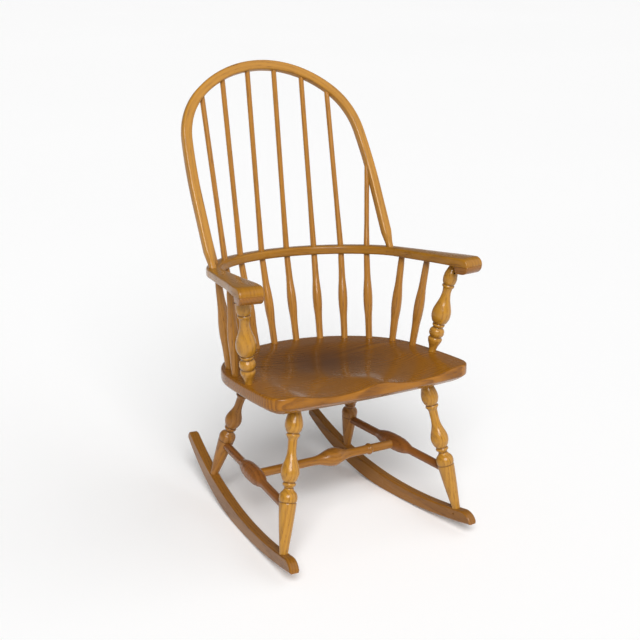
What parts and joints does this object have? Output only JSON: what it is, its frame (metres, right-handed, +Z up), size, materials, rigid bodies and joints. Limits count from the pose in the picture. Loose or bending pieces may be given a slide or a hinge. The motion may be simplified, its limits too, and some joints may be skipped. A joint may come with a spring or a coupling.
{
  "type": "hoop back rocking chair",
  "caption": "Wooden rocking chair with a bent hoop back over a bowed arm rail, turned spindles and legs, a saddled plank seat and two curved rockers.",
  "frame": {"origin": "on the floor under the middle of the chair's bounding box, chair standing at rest on its rockers", "axes": "+Z up, +Y towards the back, -Y the way the sitter faces, +X towards the sitter's left"},
  "size_m": [0.6616, 0.6712, 1.0721],
  "materials": {
    "seat_wood": "gloss lacquer",
    "hoop_wood": "gloss lacquer",
    "rail_wood": "gloss lacquer",
    "leg_wood": "gloss lacquer",
    "post_wood": "gloss lacquer",
    "spindle_wood": "gloss lacquer",
    "stretcher_wood": "gloss lacquer",
    "pin_wood": "gloss lacquer",
    "rocker_wood": "gloss lacquer"
  },
  "bodies": {
    "root": {"arm_post_left": "post_wood", "arm_post_right": "post_wood", "arm_rail": "rail_wood", "arm_spindle_front_left": "spindle_wood", "arm_spindle_front_right": "spindle_wood", "arm_spindle_rear_left": "spindle_wood", "arm_spindle_rear_right": "spindle_wood", "back_spindle_left_1": "spindle_wood", "back_spindle_left_2": "spindle_wood", "back_spindle_left_3": "spindle_wood", "back_spindle_left_4": "spindle_wood", "back_spindle_right_1": "spindle_wood", "back_spindle_right_2": "spindle_wood", "back_spindle_right_3": "spindle_wood", "back_spindle_right_4": "spindle_wood", "centre_stretcher": "stretcher_wood", "front_leg_left": "leg_wood", "front_leg_right": "leg_wood", "hand_block_left": "rail_wood", "hand_block_right": "rail_wood", "hoop": "hoop_wood", "hoop_pins": "pin_wood", "rear_leg_left": "leg_wood", "rear_leg_right": "leg_wood", "rocker_left": "rocker_wood", "rocker_pins": "pin_wood", "rocker_right": "rocker_wood", "seat": "seat_wood", "side_stretcher_left": "stretcher_wood", "side_stretcher_right": "stretcher_wood"}
  },
  "joints": []
}
